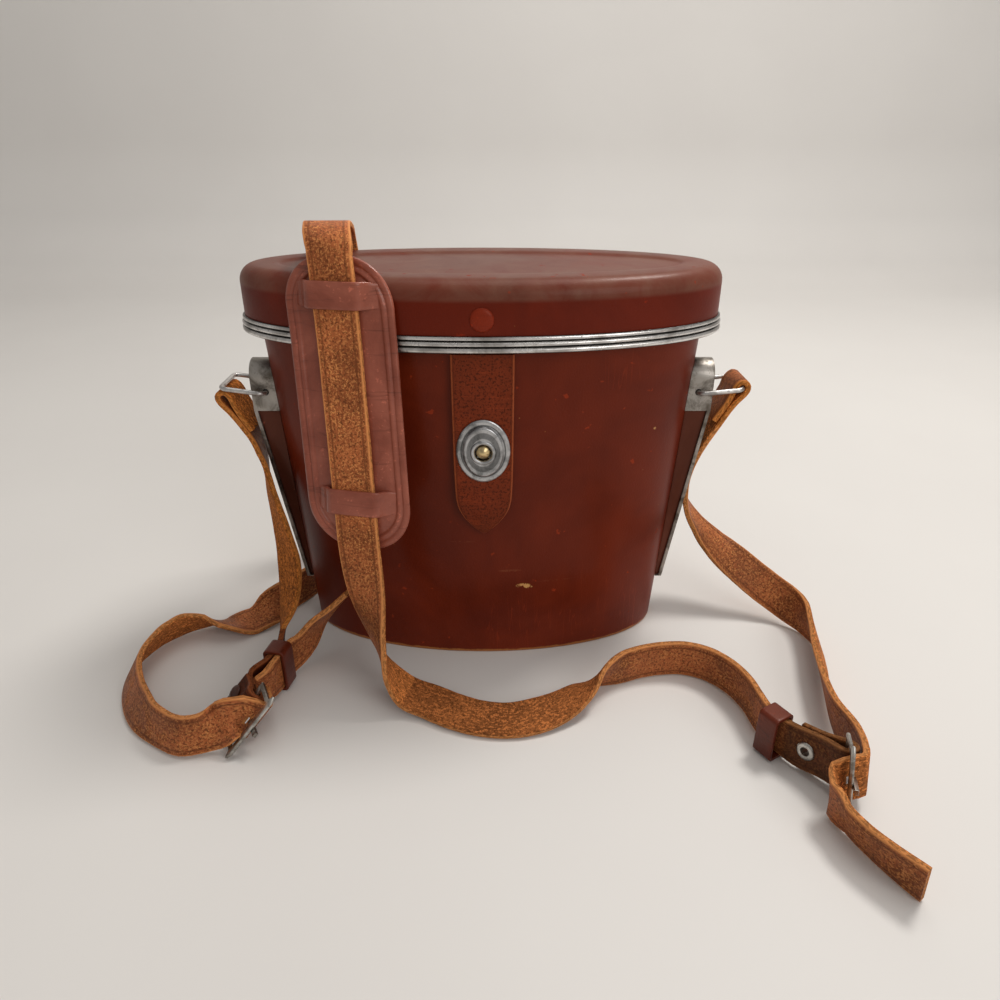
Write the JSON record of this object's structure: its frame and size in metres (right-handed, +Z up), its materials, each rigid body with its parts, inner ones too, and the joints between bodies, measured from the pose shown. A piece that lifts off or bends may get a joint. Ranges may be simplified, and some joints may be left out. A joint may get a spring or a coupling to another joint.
{
  "type": "binocular hard case",
  "caption": "Oval moulded leather binocular case with a hinged lid, a snap tab, wire strap loops and a buckled shoulder strap with a pad.",
  "frame": {"origin": "centre of the case's underside, on the table", "axes": "+Z up, -Y towards the front with the snap tab, +X to the right seen from the front"},
  "size_m": [0.2972, 0.216, 0.1778],
  "materials": {
    "body_leather": "lacquered, worn",
    "lid_leather": "lacquered, worn",
    "tab_leather": "worn",
    "strap_leather": "matt",
    "pad_leather": "glossy",
    "cloth": "matt",
    "felt": "matt",
    "nickel": "worn plating",
    "painted_metal": "worn",
    "brass": "polished",
    "spring_steel": "bright"
  },
  "bodies": {
    "case": {"body_bottom": "body_leather", "body_lining": "cloth", "body_shell": "body_leather", "bottom_felt": "felt", "hinge_body_leaf": "nickel", "hinge_body_rivets": "nickel", "hinge_pin": "nickel", "left_buckle_frame": "nickel", "left_buckle_prong": "nickel", "left_buckle_strap": "strap_leather", "left_keeper": "strap_leather", "left_lug_bracket": "painted_metal", "left_lug_inlay": "body_leather", "left_lug_rivets": "nickel", "left_strap_rivet": "nickel", "mouth_band": "nickel", "right_buckle_frame": "nickel", "right_buckle_prong": "nickel", "right_grommet": "nickel", "right_keeper": "strap_leather", "right_lug_bracket": "painted_metal", "right_lug_inlay": "body_leather", "right_lug_rivets": "nickel", "right_lug_run": "strap_leather", "snap_escutcheon": "nickel", "snap_stud": "brass", "strap_back_drop": "strap_leather", "strap_front_run": "strap_leather", "strap_left_bow": "strap_leather"},
    "lid": {"lid_shell": "lid_leather", "lid_lining": "cloth", "lid_trim_band": "nickel", "hinge_lid_leaf": "nickel", "hinge_lid_rivets": "nickel", "tab_root": "tab_leather", "tab_rivet": "nickel", "tab_rivet_burr": "nickel", "shoulder_pad": "pad_leather", "strap_over_lid": "strap_leather", "strap_back_bend": "strap_leather", "strap_front_drop": "strap_leather"},
    "tab": {"closure_tab": "tab_leather", "catch_plate": "nickel", "catch_backplate": "nickel", "catch_spring": "spring_steel"},
    "left_loop_body": {"left_loop": "nickel", "left_strap_fold": "strap_leather", "left_lug_hang": "strap_leather"},
    "right_loop_body": {"right_loop": "nickel", "right_strap_fold": "strap_leather", "right_lug_hang": "strap_leather"}
  },
  "joints": [
    {"name": "lid_hinge", "type": "hinge", "parent": "case", "child": "lid", "pos_m": [0, 0.03814, 0.1329], "axis": [-1, 0, 0], "range_deg": [0, 105], "deforming": ["strap_back_bend", "strap_front_drop"]},
    {"name": "tab_flex", "type": "hinge", "parent": "lid", "child": "tab", "pos_m": [0.001, -0.03749, 0.134], "axis": [-1, 0, 0], "range_deg": [0, 70]},
    {"name": "right_loop_pivot", "type": "hinge", "parent": "case", "child": "right_loop_body", "pos_m": [0.0881, 0, 0.11], "axis": [0, -1, 0], "range_deg": [-3, 55], "deforming": ["right_lug_hang"]},
    {"name": "left_loop_pivot", "type": "hinge", "parent": "case", "child": "left_loop_body", "pos_m": [-0.0881, 0, 0.11], "axis": [0, 1, 0], "range_deg": [-3, 65], "deforming": ["left_lug_hang"]}
  ]
}
